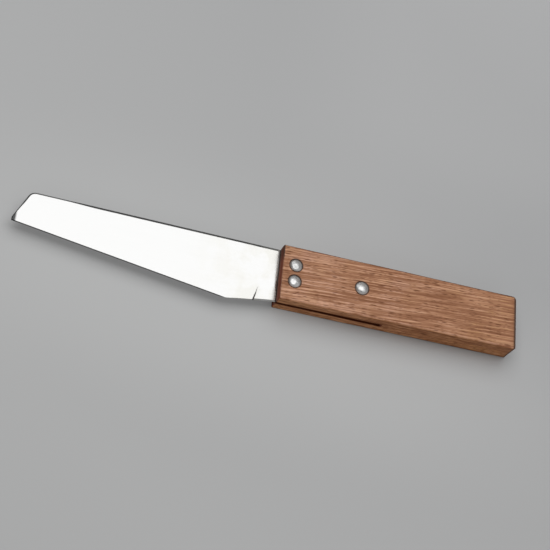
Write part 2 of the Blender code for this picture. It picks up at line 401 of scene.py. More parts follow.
def buildHandle(shape):
    # the rounded section carried along X, drawn in at both ends, closed by a fan at each
    length = buttX - frontX
    front, butt = shape["frontEase"], shape["buttEase"]
    quarter = 1 - np.cos(np.linspace(0, np.pi / 2, shape["endRings"]))
    frontRun, buttRun = max(front.values()), max(butt.values())
    x = np.concatenate([quarter * frontRun,
                        np.linspace(frontRun, length - buttRun, shape["rings"])[1:-1],
                        (length - quarter * buttRun)[::-1]])
    centres, steps, weights = roundedSection(shape)
    t = x / length
    far, near, faces = (np.maximum(endInset(x, front[side]), endInset(length - x, butt[side]))
                        for side in ("far", "near", "faces"))
    dips = [shape["faceWander"] * np.clip(0.5 + 0.5 * ripple(t * shape["faceWaves"], 20 + k), 0, None)
            for k in range(4)]
    high = handleHigh[1:] - np.stack([far + dips[0], faces + dips[1]], -1)
    low = handleLow[1:] + np.stack([near + dips[2], faces + dips[3]], -1)
    half, middle = (high - low) / 2, (high + low) / 2
    uneven = [1 + shape["easeWander"] * ripple(t * shape["easeWaves"], 10 + k) for k in range(4)]
    radii = np.stack([size * change for size, change in zip(shape["edgeEase"], uneven)], -1)
    radius = radii @ weights.T
    section = [middle[:, k, None] + centres[:, k] * (half[:, k, None] - radius) + steps[:, k] * radius
               for k in (0, 1)]
    footward = (handleTop - section[1]) / (handleTop - handleLow[2])
    standOut = shape["frontStand"] + shape["frontLean"] * footward
    lengthwise = (frontX + x)[:, None] - ease(1 - x / shape["leanReach"])[:, None] * standOut
    points = np.stack([lengthwise, *section], -1)
    index = gridIndex(points)
    poles = [[lengthwise[0].mean(), *middle[0]], [frontX + length, *middle[-1]]]
    piece = addPiece("handle_block", np.vstack([points.reshape(-1, 3), poles]),
                     gridQuads(index, closeCols=True)[:, ::-1],
                     fan(index[0], index.size)[:, ::-1], fan(index[-1], index.size + 1))
    # marks for the finish, the two poles' last
    onArc = (np.abs(steps) < 0.999).all(1)
    offEnd = ease(np.minimum(x, length - x) / shape["wearFade"])
    # wear on the edges, with a painted highlight along the near top edge
    wornSheen = offEnd[:, None] * (onArc * (weights @ shape["edgeWearSheen"]))
    addMark(piece, "wornSheen", np.append(wornSheen.ravel(), [0, 0]))
    # the dirt mark, with painted contact shade along the lower edges
    sideways = ease(np.abs(steps[:, 0]) / shape["grimeFacing"]) * (weights @ shape["edgeGrimeShade"])
    atButt = ease(2 * ((x - length) / shape["buttGrime"] + 1))
    grimeAndShade = np.maximum(np.repeat((onArc * sideways)[None], len(x), 0), atButt[:, None])
    addMark(piece, "grimeAndShade", np.append(grimeAndShade.ravel(), [0, 0.5]))
    return piece


def sawKerf(shape):
    # a slot section carried across the handle, with the round bottom that the saw leaves
    past = shape["sawPast"]
    y = np.linspace(nearY - past, farY + past, shape["kerfPoints"])
    saw = shape["sawDiameter"] / 2
    reach = frontX + shape["kerfDepth"] - saw + np.sqrt(saw ** 2 - (y - centreY) ** 2)
    mouth = np.full_like(y, frontX - past)
    atMouth, atEnd = (np.full_like(y, width / 2) for width in shape["kerfWidth"])
    endZ = bladeZ - shape["kerfSag"]
    ring = [(mouth, bladeZ - atMouth), (reach, endZ - atEnd),
            (reach, endZ + atEnd), (mouth, bladeZ + atMouth)]
    points = np.stack([np.stack([px, y, pz], -1) for px, pz in ring], 1)
    index = gridIndex(points)
    return addPiece("kerf_cutter", points.reshape(-1, 3), gridQuads(index, closeCols=True)[:, ::-1],
                    index[:1], index[-1:, ::-1])


def rivetBore(shape, k):
    # what a rivet passes through: a shallow seat, a bore and a countersink
    seat = headRadii[k] + shape["seatGap"]
    bore = shape["boreDiameter"] / 2
    tail = rivetShape["tailDiameter"] / 2 + shape["tailGap"]
    pole, floor = shape["borePole"], handleTop - shape["seatDepth"]
    top, bottom = handleTop + shape["borePast"], -shape["borePast"]
    profile = [(pole, top), (seat, top), (seat, floor), (bore, floor), (bore, shape["tailSeatDepth"]),
               (tail, 0.0), (tail, bottom), (pole, bottom)]
    return turnedCutter(f"bore_cutter_{k}", profile, shape["boreSteps"], rivetCentres[k])


# blade: one steel plate, ground on both faces, with a blunted slanting tip and a hidden tang

bladeShape = {
    "spineInset": 0.46,  # from the handle's far side down to the spine
    "spineLean": 0.47,  # degrees by which the spine rises towards the tip
    "edgeInset": 0.45, "heelSetback": 21.6, "heelDrop": 2.6, "heelRadius": 18.0,
    "edgeAngle": 8.7, "tipBlunt": 1.5, "tipSlant": 24.4, "tipCornerRadius": 3.2,
    "tangEndWidth": 15.5, "grindHeight": 11.2,
    "grindHalf": 0.24,  # half thickness it leaves at the edge
    "grindHollow": 2.0,  # power of its rise: 1 is flat, more is hollow
    "plungeSetback": 10.1, "plungeLean": 16.0, "plungeSlope": 28.5, "bevelAngle": 30.0,
    "apexHalf": 0.03,
    "rimWidth": 1.1,  # how far in from the outline the arris was broken
    "tipRim": 0.70,  # share of that width towards the tip
    "tipRimEnd": (32.0, 12.0),  # ends so far from the point, over this length
    "slantRim": 0.58,  # along the slanting tip itself
    "slantRimEnd": (7.0, 4.0),
    "ricassoRim": 0.45,  # and between heel and handle
    "ricassoFade": 6.0, "leastRim": 0.01, "rimDrop": 0.40,
    "rimCurve": 1.2,  # 1 is a flat chamfer, 2 a round one
    "rimHalf": 0.05,  # least half thickness it leaves
    "soften": 0.008,  # how softly the ground faces meet
    "wave": 0.004,  # unevenness of the hand grinding
    "waveLength": (31.0, 90.0),
    "fanEnd": -80.0,  # left of this the columns fan out to the tip
    "fanColumns": 84, "fanCrowding": 1.35, "plungeSpan": (-13.0, -6.0),
    "columns": (96, 110, 50),  # before, along and after that span
    "leanSpan": 7.0,  # columns this near the plunge lean with it,
    "leanPast": 1.0,  # up to this far above the grind
    "rows": 84, "rowCrowding": 2.2, "holePast": 2.0, "holeSteps": 48, "sharpAngle": 28.0,
}


def roundedPath(corners, radii, arcPoints=16):
    # straight runs joined by arcs tangent to both sides of a corner, where it has a radius
    corners = np.asarray(corners, float)
    pieces = [corners[:1]]
    for before, corner, after, radius in zip(corners, corners[1:], corners[2:], radii):
        if not radius:
            pieces.append(corner[None])
            continue
        back = unit(before - corner)
        on = unit(after - corner)
        half = np.arccos(np.clip(back @ on, -1, 1)) / 2
        centre = corner + unit(back + on) * radius / np.sin(half)
        start = corner + back * radius / np.tan(half) - centre
        end = corner + on * radius / np.tan(half) - centre
        sweep = np.arctan2(start[0] * end[1] - start[1] * end[0], start @ end)
        turn = np.linspace(0, sweep, arcPoints)[:, None]
        side = np.array([-start[1], start[0]])
        pieces.append(centre + start * np.cos(turn) + side * np.sin(turn))
    pieces.append(corners[-1:])
    return np.vstack(pieces)


def alongPath(path, share):
    # the points at these shares of a path's length
    run = np.concatenate([[0], np.cumsum(np.linalg.norm(np.diff(path, axis=0), axis=1))])
    return np.stack([np.interp(share * run[-1], run, path[:, k]) for k in (0, 1)], -1)


def distanceToPath(points, path):
    # shortest way from each point to a chain of straight runs
    start, run = path[:-1], np.diff(path, axis=0)
    gap = points[..., None, :] - start
    share = np.clip((gap * run).sum(-1) / (run ** 2).sum(-1), 0, 1)
    return np.linalg.norm(gap - share[..., None] * run, axis=-1).min(-1)


def softLess(a, b, soft):
    # the lesser of two heights, with the crease between them rounded
    low = np.minimum(a, b)
    return low - soft * np.log(np.exp(-(a - low) / soft) + np.exp(-(b - low) / soft))


def bladeOutline(shape):
    # corners of the plate, with x from the handle's front end and y from its centre line
    half = (farY - nearY) / 2
    reach, tang = frontX - bladeLow[0], bladeHigh[0] - frontX
    lean, angle, slant = (math.radians(shape[k]) for k in ("spineLean", "edgeAngle", "tipSlant"))

    def spineY(x):
        return half - shape["spineInset"] - x * math.tan(lean)

    heel = np.array([-shape["heelSetback"], -half - shape["heelDrop"]])
    tipLow = heel + np.array([-1, math.tan(angle)]) * (reach - shape["heelSetback"])
    tipHigh = tipLow + [0, shape["tipBlunt"]]
    rise = (spineY(tipHigh[0]) - tipHigh[1]) / (math.cos(slant) + math.sin(slant) * math.tan(lean))
    tipTop = tipHigh + np.array([math.sin(slant), math.cos(slant)]) * rise
    frontEdge = np.array([0, -half + shape["edgeInset"]])
    tangTop = np.array([tang, spineY(tang)])
    tangLow = tangTop - [0, shape["tangEndWidth"]]
    lower = roundedPath([tipLow, heel, frontEdge, tangLow], [shape["heelRadius"], 0])
    upper = roundedPath([tipHigh, tipTop, tangTop], [shape["tipCornerRadius"]])
    return lower, upper, heel, tipLow


def bladeColumns(shape, lower, upper):
    # pairs of points, one on each long side: upright columns, fanned out towards the tip
    fanEnd = shape["fanEnd"]
    share = np.linspace(0, 1, shape["fanColumns"])[:-1] ** shape["fanCrowding"]
    ends = [fanEnd, *shape["plungeSpan"], lower[-1, 0]]
    spans = [np.linspace(start, end, count) for start, end, count in zip(ends, ends[1:], shape["columns"])]
    upright = np.concatenate([spans[0][:-1], spans[1][:-1], spans[2]])
    sides = []
    for path in (lower, upper):
        cut = np.interp(fanEnd, path[:, 0], path[:, 1])
        tipRun = np.vstack([path[path[:, 0] < fanEnd], [fanEnd, cut]])
        rest = np.stack([upright, np.interp(upright, path[:, 0], path[:, 1])], -1)
        sides.append(np.vstack([alongPath(tipRun, share), rest]))
    return sides


def plungeFoot(shape, lower):
    # where the plunge meets the edge, and the unit step across it towards the handle
    footX = -shape["plungeSetback"]
    lean = math.radians(shape["plungeLean"])
    return (np.array([footX, np.interp(footX, lower[:, 0], lower[:, 1])]),
            np.array([math.cos(lean), -math.sin(lean)]))


def halfThickness(shape, flat, lower, upper, heel, tipLow):
    # half the plate or what the hollow grind leaves of it up to its plunge, less the edge bevel; the rim
    # falls away from that by drop * (1 - distance / width) ** curve
    angle = math.radians(shape["edgeAngle"])
    fromEdge = np.clip((flat - heel) @ np.array([math.sin(angle), math.cos(angle)]), 0, None)
    climb = (fromEdge / shape["grindHeight"]) ** shape["grindHollow"]
    ground = shape["grindHalf"] + (plateHalf - shape["grindHalf"]) * climb
    ground = ground - shape["wave"] * (1 + ripple((flat / shape["waveLength"]).sum(-1), 31))
    foot, step = plungeFoot(shape, lower)
    past = (flat - foot) @ step
    plunge = ground + np.clip(past, 0, None) * math.tan(math.radians(shape["plungeSlope"]))
    bevel = shape["apexHalf"] + fromEdge * math.tan(math.radians(shape["bevelAngle"]))
    soft = shape["soften"]
    face = np.minimum(softLess(plateHalf, plunge, soft), plateHalf)
    drop = np.clip(face - shape["rimHalf"], 0, shape["rimDrop"])
    x = flat[..., 0]
    (tipEnd, tipFade), (slantEnd, slantFade) = shape["tipRimEnd"], shape["slantRimEnd"]
    towardsTip = ease((tipLow[0] + tipEnd - x) / tipFade)
    onSlant = ease((upper[0, 0] + slantEnd - x) / slantFade)
    pastHeel = ease((x - heel[0]) / shape["ricassoFade"])
    spineShare = 1 - (1 - shape["tipRim"]) * towardsTip - (shape["tipRim"] - shape["slantRim"]) * onSlant
    spineWidth = shape["rimWidth"] * spineShare
    ricassoWidth = shape["rimWidth"] * np.maximum(shape["ricassoRim"] * pastHeel, shape["leastRim"])
    ricasso = lower[lower[:, 0] > heel[0]]
    toRim = np.minimum(distanceToPath(flat, np.vstack([tipLow, upper])) / spineWidth,
                       distanceToPath(flat, ricasso) / ricassoWidth)
    fall = np.clip(1 - toRim * shape["rimDrop"] / drop, 0, 1)
    return softLess(face - drop * fall ** shape["rimCurve"], bevel, soft)


def buildBlade(shape):
    # columns across the outline, closely spaced at both sides; half the thickness stands above the
    # middle plane and half below, so each column is a closed loop up one face and down the other
    lower, upper, heel, tipLow = bladeOutline(shape)
    low, high = bladeColumns(shape, lower, upper)
    t = np.linspace(-1, 1, shape["rows"])
    across = 0.5 + 0.5 * np.tanh(shape["rowCrowding"] * t) / np.tanh(shape["rowCrowding"])
    flat = low[:, None] + (high - low)[:, None] * across[None, :, None]
    # near the plunge the columns lean with it, but for their ends
    lift = np.minimum(flat[..., 1] - low[:, None, 1], shape["grindHeight"] + shape["leanPast"])
    near = ease(1 - np.abs(low[:, 0] + shape["plungeSetback"]) / shape["leanSpan"])[:, None]
    inside = (across * (1 - across) > 0)
    flat[..., 0] += lift * math.tan(math.radians(shape["plungeLean"])) * near * inside
    half = halfThickness(shape, flat, lower, upper, heel, tipLow)
    place = flat + [frontX, centreY]
    above = np.dstack([place, bladeZ + half])
    below = np.dstack([place, bladeZ - half])
    loops = np.concatenate([above, below[:, ::-1]], 1)
    index = gridIndex(loops)
    over, under = np.hsplit(index, 2)
    folded = np.stack([over, under[:, ::-1]], 1)
    tipCap = gridQuads(folded[0])
    tangCap = gridQuads(folded[-1])[:, ::-1]
    sides = gridQuads(index, closeCols=True)[:, ::-1]
    return addPiece("blade_plate", loops.reshape(-1, 3), sides, tipCap, tangCap)


def tangHole(shape, k):
    # a plain hole for a rivet's shank
    bore, pole = handleShape["boreDiameter"] / 2, handleShape["borePole"]
    top, bottom = bladeZ + shape["holePast"], bladeZ - shape["holePast"]
    profile = [(pole, top), (bore, top), (bore, bottom), (pole, bottom)]
    return turnedCutter(f"hole_cutter_{k}", profile, shape["holeSteps"], rivetCentres[k])


# rivets: domed heads peened by hand, tails set flush on the reverse

rivetShape = {
    "seatClear": 0.1,  # between the head and the floor of its seat
    "headRim": 0.25,
    "underRim": ((1.0, 0.08), (0.985, 0.02), (0.96, 0.0)),  # its lower edge: share of radius, height
    "shankDiameter": 3.0, "tailDiameter": 4.8, "tailDepth": 1.0, "tailRecess": 0.1, "tailRim": 0.06,
    "headStand": 1.2,
    "crown": (2.0, 1.35),  # powers of the dome: flat on top, round at the shoulder
    "hammer": 0.02,  # depth of the slow dents
    "dentTwist": 0.35, "dentSkew": 0.4,
    "blows": [  # for each rivet, hammer flats as bearing, tilt in degrees and depth
        [(15, 30, 0.10), (140, 22, 0.05), (250, 14, 0.02)],
        [(75, 24, 0.07), (310, 26, 0.03), (215, 12, 0.01)],
        [(75, 22, 0.10), (160, 28, 0.03), (5, 24, 0.06)],
    ],
    "blowSoft": 0.02,
    "lean": [(50, 11), (60, 11), (70, 10)],  # bearing and tilt of each crown, in degrees
    "ovality": 0.012, "steps": 96, "domeRings": 30, "sharpAngle": 40.0,
}


def buildRivet(shape, k):
    # head, shank and tail as one profile turned about the rivet's axis; the dome is
    # height = rim + rise * (1 - r ** first) ** (1 / second), dented by slow waves round and along it,
    # and each blow leaves a flat, a tilted plane a little below the dome where both have one slope
    headRadius = headRadii[k]
    seat = handleTop - handleShape["seatDepth"] + shape["seatClear"]
    shoulder = seat + shape["headRim"]
    rise = handleTop + shape["headStand"] - shoulder
    first, second = shape["crown"]
    r = np.sin(np.linspace(0.03, 0.5 * np.pi, shape["domeRings"]))
    turn = np.linspace(0, 2 * np.pi, shape["steps"], endpoint=False)[:, None]
    profile = shoulder + rise * np.clip(1 - r ** first, 0, 1) ** (1 / second)
    slope = -np.gradient(profile, r * headRadius)
    leanWay, lean = np.radians(shape["lean"][k])
    dome = profile - headRadius * math.tan(lean) * r * (1 - r ** 4) * np.cos(turn - leanWay)
    for bearing, tilt, depth in shape["blows"][k]:
        fallOff = math.tan(math.radians(tilt))
        touch = np.interp(fallOff, slope, r)
        outward = headRadius * (r * np.cos(turn - math.radians(bearing)) - touch)
        flat = np.interp(touch, r, profile) - depth - fallOff * outward
        dome = softLess(dome, flat, shape["blowSoft"])
    marks = ripple(turn / (2 * np.pi) + shape["dentTwist"] * r, 40 + k, 4) * r * (1 - r ** 6)
    dome = dome - shape["hammer"] * (np.abs(marks) + shape["dentSkew"] * marks)
    edge = 1 - shape["ovality"] * (1 + ripple(turn / (2 * np.pi), 50 + k, 3))
    # from the head's lower edge down to the lower pole, as radius and height
    shank, tail, foot = shape["shankDiameter"] / 2, shape["tailDiameter"] / 2, shape["tailRecess"]
    rim = [(share * headRadius, seat + lift) for share, lift in shape["underRim"]]
    rest = [(shank, seat), (shank, shape["tailDepth"] + foot), (tail, foot + shape["tailRim"]),
            (0.97 * tail, foot), (0.6 * tail, foot), (0.08, foot)]
    underR, underZ = np.array(rim + rest).T
    ones = np.ones_like(turn)
    radius = np.hstack([headRadius * r * edge, underR[:len(rim)] * edge, underR[len(rim):] * ones])
    height = np.hstack([dome, ones * underZ])
    return revolved(rivetNames[k] + "_peened", radius, height, rivetCentres[k])


handle = buildHandle(handleShape)
carve(handle, [sawKerf(handleShape)] + [rivetBore(handleShape, k) for k in range(3)])
shadeSmooth(handle, handleShape["sharpAngle"])
print("handle:", len(handle.data.polygons), "faces")

blade = buildBlade(bladeShape)
carve(blade, [tangHole(bladeShape, k) for k in range(3)])
shadeSmooth(blade, bladeShape["sharpAngle"])
print("blade:", len(blade.data.polygons), "faces")

rivets = [buildRivet(rivetShape, k) for k in range(3)]
for rivet in rivets:
    shadeSmooth(rivet, rivetShape["sharpAngle"])
print("rivets:", [len(rivet.data.polygons) for rivet in rivets], "faces")


# hardwood: reddish brown, streaked along a grain that runs a little askew, with open pores

woodLook = {
    "grainTurn": -3.0,
    "sway": (0.0, 0.7, 0.7),  # the grain wanders sideways in slow waves
    "swayScale": 0.025,
    "dark": (0.235, 0.090, 0.038, 1),
    "middle": (0.466, 0.226, 0.121, 1),
    "light": (0.685, 0.386, 0.260, 1),
    "tan": (0.530, 0.272, 0.112, 1),
    "pore": (0.140, 0.048, 0.019, 1),
    "grime": (0.055, 0.029, 0.020, 1),
    "endGrain": (0.270, 0.068, 0.039, 1),
    "dust": (0.300, 0.137, 0.098, 1),
    "sawn": (0.110, 0.018, 0.003, 1),
    "sideShadeTint": (1.0, 0.88, 0.68, 1),  # painted shade: the sides are tinted darker and browner than the top
    "streaks": {
        "broad": (28.0, 5.0, 1.0, 0.25), "bands": (40.0, 0.8, 1.0, 0.16),
        "breaks": (4.0, 0.8, 1.0, 0.20), "fibres": (16.0, 0.44, 1.5, 0.15)},
    "dashes": {
        "pores": (4.0, 0.60, 0.40, 0.46), "flecks": (5.0, 0.85, 0.05, 0.42),
        "ticks": (2.2, 0.60, 0.45, 0.48), "pale": (6.0, 0.60, 0.35, 0.45)},
    "patches": {"mottle": (2.2, 0.50, 0.20), "hue": (9.0, 0.50, 0.15)},
    "wear": {"rubbedSheen": (4.0, 0.52, 0.15), "broken": (4.0, 0.65, 0.20)},
    "lineTone": (0.42, 0.30),  # tone runs from 0, dark, to 1, light
    "broadTone": (0.42, 0.085), "mottleTone": 0.05,
    "frontTone": (45.0, 10.0, 0.06),  # from, to and change, behind the front end
    "farTone": (8.0, 3.5, 0.13),  # in from the far side
    "heartTone": (5.0, 1.5, -0.07), "heartLine": -2.9,
    "farEdgeTone": (3.0, 1.0, -0.2),  # in from the far side, towards the butt
    "buttStart": 30.0, "darkRange": (0.12, 0.55), "lightRange": (0.5, 0.9),
    "tanShare": (0.45, 0.4),  # from patch to patch, and towards the butt
    "shares": {"pale": 0.35, "fibres": 0.72, "pores": 0.88, "flecks": 0.7, "ticks": 0.45},
    "rubSheenBand": 1.1,  # width of the pale band along the near top edge, a painted highlight
    "rubDepth": 0.3, "rubSheenShare": 0.5, "sideFacing": (0.5, 0.9), "endFacing": (0.2, 0.75),
    "frontFacing": (-0.1, -0.35), "endDark": 0.9,
    "farBand": 0.80,  # width of the dirty band along the far top edge
    "farDirt": (0.5, 0.5),
    "footShadeBand": 0.9,  # painted contact shade along the foot of the sides, where they stand on the table: its width
    "footShadeShare": 0.7,
    "frontBand": 0.3,  # and along the front end's upper edge
    "frontDirt": (0.4, 1.0),
    "cornerBand": 9.0,  # and down its far corner
    "cornerDirt": 0.5,
    "dustBand": 3.6,  # dust on the front end beside the blade
    "dustShare": 0.8,
    "joinShadeBand": 0.7,  # and painted shade in the corner between them
    "joinShade": 0.8,
    "buttBand": (4.0, 0.125),  # darker wood: width, and the share to full
    "buttDark": 0.4,
    "ringStainShade": (0.55, 0.1),  # how far dirt and painted shade spread round a rivet's head, and are full
    "ringShadeShift": (0.10, 0.22, 0.0),  # and where they are thickest, towards the far side
    "grimeShare": 0.9,
    "kerfSlack": (0.03, 0.05),  # past the kerf's walls and its end
    "scorch": (30.0, 0.85, 0.96), "roughness": 0.62, "gloss": 0.2, "relief": (0.5, 0.05),
}


def woodFinish(look):
    material, tree, shader = newMaterial("oiled_hardwood")
    x, y, z = parts(millimetres(tree))
    plain = millimetres(tree, look["grainTurn"])
    sway = vectors("SUBTRACT", noise(plain, 1.0, look["swayScale"])["Color"], (0.5, 0.5, 0.5))
    grain = vectors("ADD", plain, vectors("MULTIPLY", sway, look["sway"]))
    broad, bands, breaks, fibres = layers(streaks, grain, look["streaks"])
    pores, flecks, ticks, pale = layers(dashes, grain, look["dashes"])
    mottle, hue = layers(patches, grain, look["patches"])
    rubbedSheen, broken = layers(patches, plain, look["wear"])
    # straight lines that come and go along the grain, on slow tones
    lines = product(bands, plus(breaks, *look["lineTone"]))
    tone = plus(mottle, look["mottleTone"], sums("ADD", lines, plus(broad, *look["broadTone"])))
    behind, inward = minus(x, frontX), minus(farY, y)
    towardsButt = between(x, frontX + look["buttStart"], buttX)
    for distance, name, mask in ((behind, "frontTone", 1.0), (inward, "farTone", 1.0),
                                 (apart(y, look["heartLine"]), "heartTone", 1.0),
                                 (inward, "farEdgeTone", towardsButt)):
        start, full, change = look[name]
        tone = plus(between(distance, start, full, 0.0, change), mask, tone)
    colour = mixed(between(tone, *look["darkRange"]), look["dark"], look["middle"])
    patchTan, buttTan = look["tanShare"]
    paleWood = mixed(plus(hue, patchTan, product(towardsButt, buttTan)), look["light"], look["tan"])
    colour = mixed(between(tone, *look["lightRange"]), colour, paleWood)
    shares = look["shares"]
    colour = coated(colour, pale, shares["pale"], paleWood)
    colour = coated(colour, minus(1.0, fibres), shares["fibres"], look["dark"])
    for marks, name in ((pores, "pores"), (flecks, "flecks"), (ticks, "ticks")):
        colour = coated(colour, marks, shares[name], look["pore"])
    # edges rubbed smooth by the hand, and a painted highlight: paler along the edges, most along the near top
    # edge
    nearEdgeSheen = product(edgeBand(y, nearY, -look["rubSheenBand"]),
                       sums("GREATER_THAN", z, handleTop - look["rubDepth"]))
    rubbedSheen = product(rubbedSheen, strongest(readMark(tree, "wornSheen"), nearEdgeSheen))
    colour = coated(colour, rubbedSheen, look["rubSheenShare"], look["light"])
    # painted shade darkens and browns the sides, and end grain drinks the oil and goes darker
    facing = parts(facingWay(tree))
    sideShade = between(sums("ABSOLUTE", facing[1]), *look["sideFacing"])
    colour = mixed(sideShade, colour, look["sideShadeTint"], "MULTIPLY")
    endGrain = between(sums("ABSOLUTE", facing[0]), *look["endFacing"])
    colour = coated(colour, endGrain, look["endDark"], look["endGrain"])
    onFront = between(facing[0], *look["frontFacing"])
    besideBlade = apart(z, bladeZ)
    dusty = product(onFront, edgeBand(besideBlade, 0.0, -look["dustBand"]))
    colour = coated(colour, dusty, look["dustShare"], look["dust"])
    colour = coated(colour, edgeBand(x, buttX, *look["buttBand"]), look["buttDark"], look["dark"])
    # dirt along the edges, on the front end, round the butt and round the rivets' heads, and painted shade
    # along the foot, in the join with the blade and round the heads
    farEdge = edgeBand(y, farY, look["farBand"])
    # painted contact shade along the foot of the sides
    inFootShade = edgeBand(z, 0.0, -look["footShadeBand"], 1 / 3)
    atFront = edgeBand(x, frontX, -look["frontBand"])
    onTop = edgeBand(z, handleTop, 1.5 * look["frontBand"], 2 / 3)
    atCorner = edgeBand(y, farY, look["cornerBand"], 1 / 3)
    # painted shade in the join with the blade
    inJoinShade = edgeBand(besideBlade, plateHalf, -look["joinShadeBand"])
    dirtAndShade = [
        readMark(tree, "grimeAndShade"),
        product(farEdge, broken, plus(towardsButt, *look["farDirt"])),
        product(inFootShade, broken, look["footShadeShare"]),
        product(atFront, onTop, between(atCorner, 0.0, 1.0, *look["frontDirt"])),
        product(inJoinShade, onFront, look["joinShade"]),
        product(atCorner, onFront, look["cornerDirt"]),
    ]
    flatPlace = addNode(tree, "CombineXYZ", {0: x, 1: y})[0]
    # a darker ring round each rivet's head: dirt, and painted shade in its seat
    spread, full = look["ringStainShade"]
    for rim, centre in zip(headRadii, rivetCentres):
        middle = tuple(np.array([*centre, 0]) + look["ringShadeShift"])
        dirtAndShade.append(between(vectors("DISTANCE", flatPlace, middle), rim + spread, rim + full))
    colour = coated(colour, strongest(*dirtAndShade), look["grimeShare"], look["grime"])
    # the walls of the kerf are scorched by the saw
    kerf = (x, frontX, frontX + handleShape["kerfDepth"])
    kerfZ = between(*kerf, bladeZ, bladeZ - handleShape["kerfSag"], "LINEAR")
    kerfHalf = between(*kerf, *(width / 2 for width in handleShape["kerfWidth"]), "LINEAR")
    wallSlack, endSlack = look["kerfSlack"]
    inKerf = product(sums("LESS_THAN", apart(z, kerfZ), sums("ADD", kerfHalf, wallSlack)),
                     sums("LESS_THAN", x, kerf[2] + endSlack))
    run, atMouth, atEnd = look["scorch"]
    colour = coated(colour, inKerf, between(x, frontX, frontX + run, atMouth, atEnd), look["sawn"])
    rough = look["roughness"]
    for mask, change in ((fibres, -0.12), (pores, 0.2), (rubbedSheen, -0.2), (endGrain, 0.35)):
        rough = plus(mask, change, rough)
    height = minus(minus(product(fibres, 0.25), pores), flecks)
    wire(shader, {"Base Color": colour, "Roughness": rough, "Specular IOR Level": look["gloss"],
                  "Normal": relief(height, *look["relief"])})
    return material


# ground steel: bright, with fine lines across the blade, faint stains and specks near the handle

steelLook = {
    "steel": (0.467, 0.467, 0.464, 1),
    "stain": (0.452, 0.442, 0.396, 1),
    "speck": (0.30, 0.28, 0.25, 1),
    "grime": (0.190, 0.168, 0.158, 1),
    # near black: the painted shade in the join and in the plunge
    "join": (0.030, 0.024, 0.022, 1),
    "tipDull": (0.022, 0.022, 0.023, 1),
    "across": {"lines": (30.0, 0.12, 3.0, 0.3)},
    "along": {"wipes": (40.0, 0.9, 2.0, 0.25)},
    "patches": {"stains": (8.0, 0.50, 0.12), "crumbs": (1.1, 0.55, 0.2)},
    "dashes": {"specks": (2.4, 2.0, 0.10, 0.10)},
    "stainReach": (45.0, 8.0),  # from and to, before the handle
    "stainShare": 0.4,
    "grimeBand": 0.8,  # width of the dirt left against the handle
    "grimeSpread": 0.06,  # and how fast it widens towards the spine
    "grimeCrumbs": (0.4, 0.6), "grimeShare": 0.93,
    "joinShadeBand": 0.85,  # width of the painted shade in the corner itself
    "joinShadeShare": 0.9,
    "plungeShadeBand": 0.75,  # and of the painted shade in the plunge
    "plungeStart": 0.1,
    "plungeReach": (4.5, 1.2),  # which comes in from here to here above the edge
    "plungeShadeShare": 0.85,
    "tipBand": 2.0,  # and of the dull metal at the blunted point
    "tipShare": 0.95, "roughness": 0.10, "relief": (0.12, 0.01),
}


def steelFinish(look):
    material, tree, shader = newMaterial("ground_steel")
    place = millimetres(tree)
    x, y = parts(place)[:2]
    lines, = layers(streaks, millimetres(tree, 90), look["across"])
    wipes, = layers(streaks, place, look["along"])
    stains, crumbs = layers(patches, place, look["patches"])
    specks, = layers(dashes, place, look["dashes"])
    nearHandle = between(x, *(frontX - reach for reach in look["stainReach"]))
    stained = product(stains, nearHandle, look["stainShare"])
    colour = mixed(stained, look["steel"], look["stain"])
    colour = coated(colour, specks, nearHandle, look["speck"])
    # dirt against the handle, and painted shade in the corner and in the plunge
    toHandle = plus(y, look["grimeSpread"], x)
    grime = product(edgeBand(toHandle, frontX, look["grimeBand"], 1 / 3), plus(crumbs, *look["grimeCrumbs"]))
    colour = coated(colour, grime, look["grimeShare"], look["grime"])
    colour = coated(colour, edgeBand(x, frontX, look["joinShadeBand"], 0.6), look["joinShadeShare"], look["join"])
    foot, step = plungeFoot(bladeShape, bladeOutline(bladeShape)[0])
    footX, footY = foot + [frontX, centreY]
    aboveFoot = minus(y, footY)
    past = plus(minus(x, footX), step[0], product(aboveFoot, step[1]))
    inPlungeShade = product(between(past, 0.0, look["plungeStart"]), edgeBand(past, 0.0, -look["plungeShadeBand"], 0.6),
                       between(aboveFoot, *look["plungeReach"]))
    colour = coated(colour, inPlungeShade, look["plungeShadeShare"], look["join"])
    colour = coated(colour, edgeBand(x, bladeLow[0], -look["tipBand"]), look["tipShare"], look["tipDull"])
    rough = look["roughness"]
    for mask, change in ((lines, 0.05), (grime, 0.5), (wipes, 0.03), (stained, 0.3)):
        rough = plus(mask, change, rough)
    wire(shader, {"Base Color": colour, "Metallic": plus(grime, -0.9, 1.0), "Roughness": rough,
                  "Normal": relief(lines, *look["relief"])})
    return material


# rivet metal: bright and hammered, dull in the hollows, with dirt and painted shade low on the head

rivetLook = {
    "bright": (0.61, 0.61, 0.605, 1),
    "dull": (0.32, 0.31, 0.295, 1),
    "rim": (0.08, 0.066, 0.055, 1),
    "scuffTurn": 35.0,
    "streaks": {"scuffs": (2.0, 0.1, 2.0, 0.25)},
    "patches": {"tarnish": (1.6, 0.4, 0.15)},
    "dashes": {"pits": (0.5, 0.5, 0.2, 0.22)},
    "tarnishShare": 0.25, "pitShare": 0.5,
    "rimShadeHeight": (0.55, 0.1),  # how high dirt and painted shade stand on the head, and are full
    "rimShadeDepth": 1.0, "rimShadeShare": 0.75,
    "towardsShade": (0.4, 0.9, 0.0),  # painted shade: the low ring is darkest where the head faces the far side
    "towardsShadeRange": (-0.5, 0.3, 0.2, 1.0),
    "roughness": 0.40, "relief": (0.25, 0.02),
}


